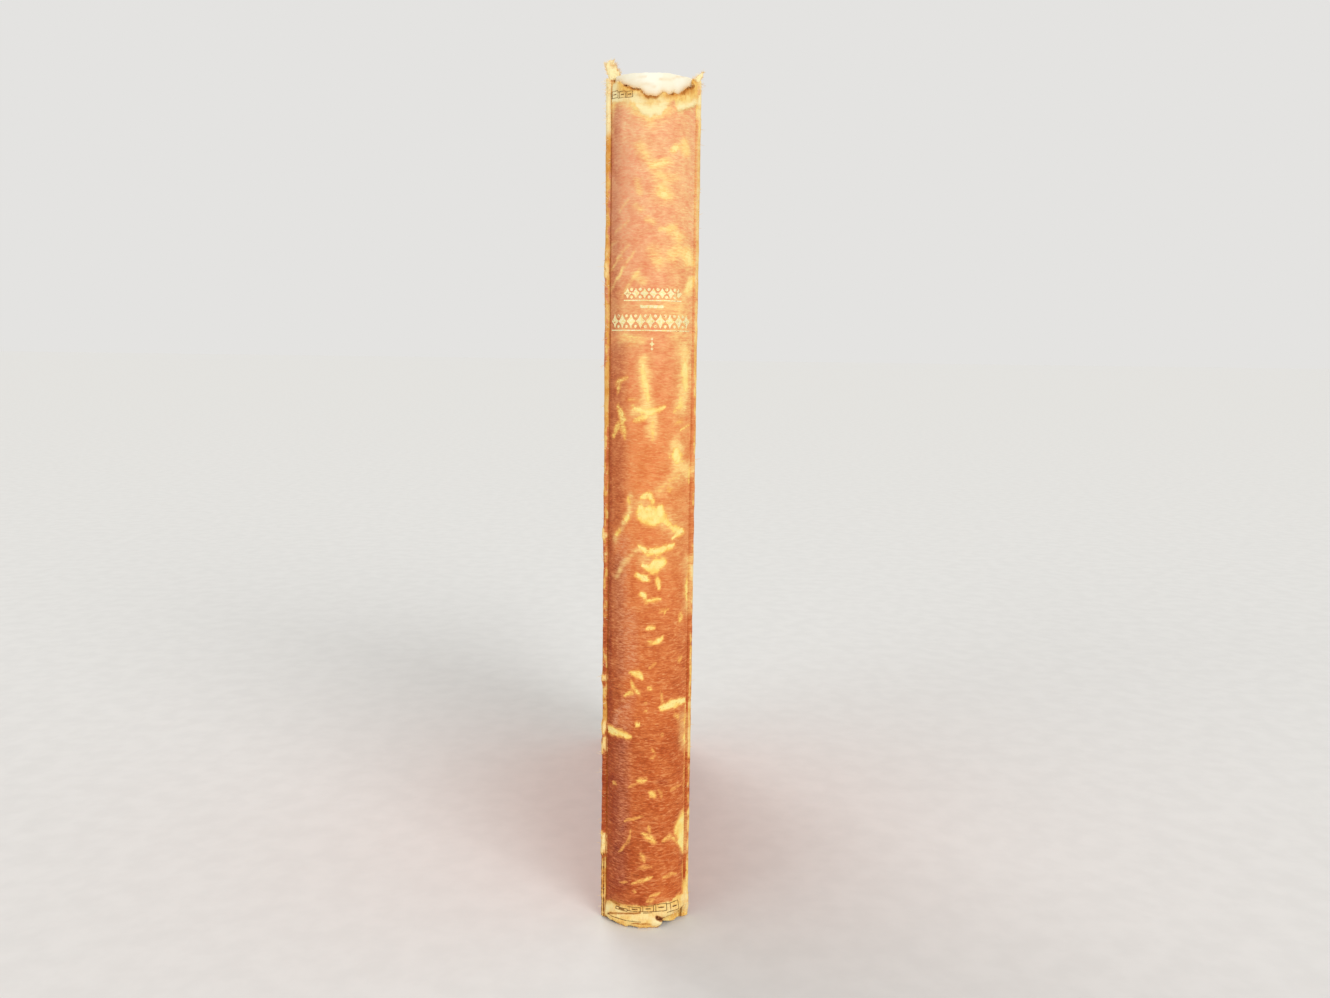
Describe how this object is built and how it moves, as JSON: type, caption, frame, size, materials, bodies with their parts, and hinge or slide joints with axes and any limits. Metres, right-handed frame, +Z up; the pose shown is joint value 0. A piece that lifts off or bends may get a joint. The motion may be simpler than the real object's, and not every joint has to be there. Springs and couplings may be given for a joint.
{
  "type": "hardback book",
  "caption": "Old hardback book in a worn leather hollow-back binding, standing closed on its tail edge, with two covers that open on their joints.",
  "frame": {"origin": "bottom centre of the closed book's box, on the surface it stands on", "axes": "+Z up from tail to head, -Y out of the spine, +Y out of the fore-edge, +X out of the front cover"},
  "size_m": [0.0232, 0.1484, 0.2236],
  "materials": {
    "pages": "aged, cut edges toned",
    "endpaper": "aged, lightly foxed",
    "lining": "glued paper and cloth",
    "band": "twisted thread",
    "inlay": "matt card",
    "leather": "brown calf, scuffed to tan",
    "raw_leather": "torn, suede-like",
    "board": "pressed pulp board"
  },
  "bodies": {
    "pages_and_spine": {"text_block": "pages", "front_flyleaf": "endpaper", "back_flyleaf": "endpaper", "spine_lining": "lining", "head_band": "band", "tail_band": "band", "spine_inlay": "inlay", "spine_leather": "leather", "head_turn_in": "raw_leather", "tail_turn_in": "raw_leather"},
    "front_cover": {"front_board": "board", "front_cover_leather": "leather", "front_pastedown": "endpaper"},
    "back_cover": {"back_board": "board", "back_cover_leather": "leather", "back_pastedown": "endpaper"}
  },
  "joints": [
    {"name": "front_cover_hinge", "type": "hinge", "parent": "pages_and_spine", "child": "front_cover", "pos_m": [0.0116, -0.06785, 0.11], "axis": [0, 0, -1], "range_deg": [0, 175]},
    {"name": "back_cover_hinge", "type": "hinge", "parent": "pages_and_spine", "child": "back_cover", "pos_m": [-0.0116, -0.06785, 0.11], "axis": [0, 0, 1], "range_deg": [0, 175]}
  ]
}
